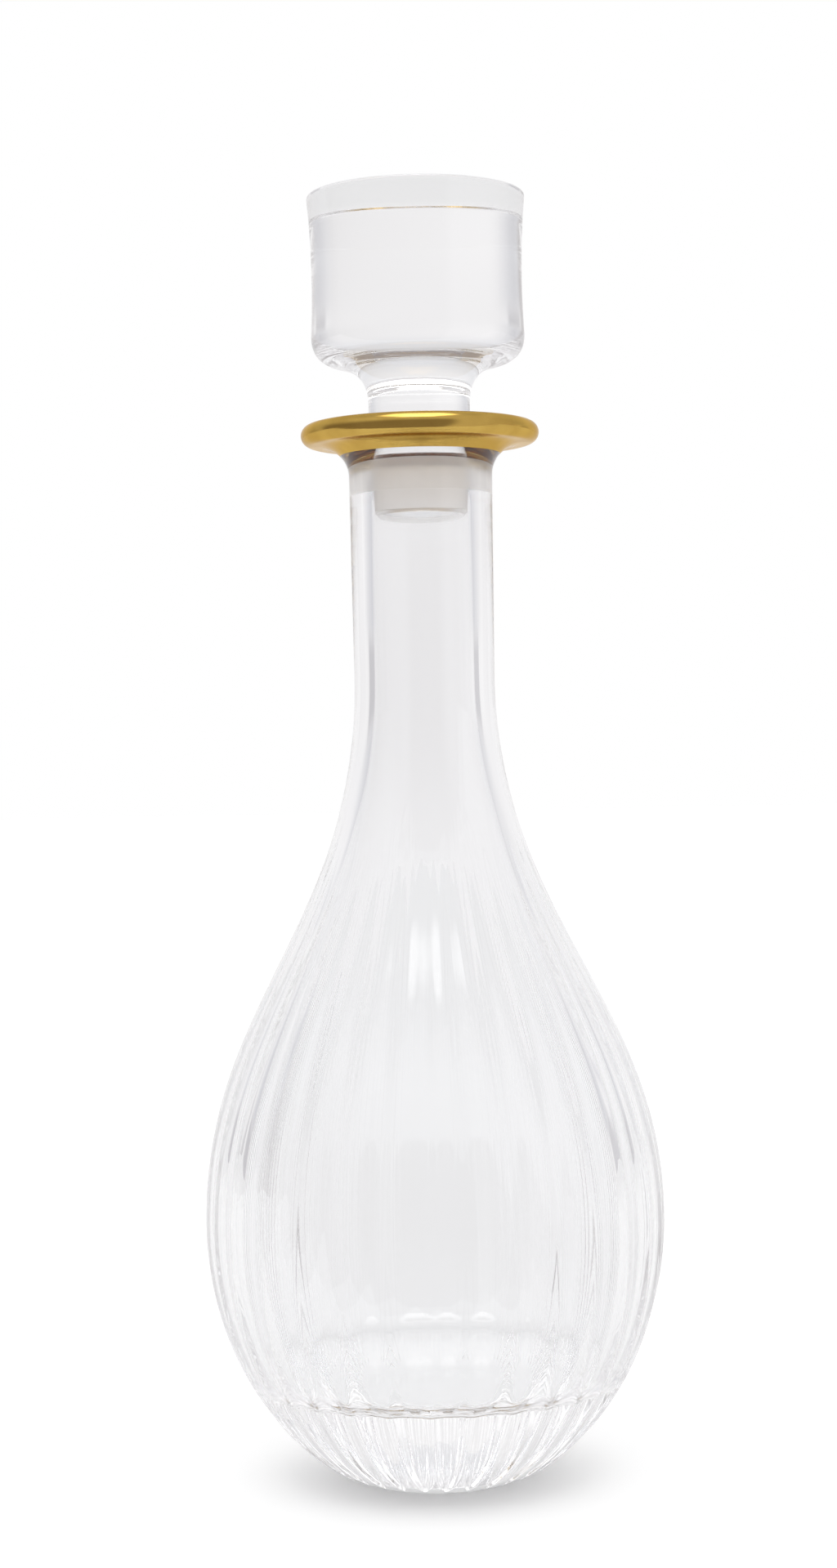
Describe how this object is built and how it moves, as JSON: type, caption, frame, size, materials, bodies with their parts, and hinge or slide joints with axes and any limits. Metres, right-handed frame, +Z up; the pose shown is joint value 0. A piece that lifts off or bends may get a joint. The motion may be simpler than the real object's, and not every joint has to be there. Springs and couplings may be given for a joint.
{
  "type": "decanter",
  "caption": "Teardrop glass decanter with a long neck, fluted body, thick base and gilt lip, closed by a solid glass stopper that lifts out of a ground joint.",
  "frame": {"origin": "centre of the flat foot, on the surface that the decanter stands on", "axes": "+Z up along the axis of the body and neck; the body is round, with flutes alike all round, so X and Y are free and lie on ridges between flutes"},
  "size_m": [0.1184, 0.1184, 0.33],
  "materials": {
    "vessel_crystal": "clear polished crystal, ground matt inside the neck joint",
    "fired_gold": "bright fired gold, polished",
    "stopper_crystal": "clear polished crystal, ground matt on the plug"
  },
  "bodies": {
    "vessel": {"vessel": "vessel_crystal", "gilt_rim": "fired_gold"},
    "stopper": {"stopper": "stopper_crystal"}
  },
  "joints": [
    {"name": "stopper_lift", "type": "slide", "parent": "vessel", "child": "stopper", "axis": [0, 0, 1], "range_m": [0, 0.08]}
  ]
}
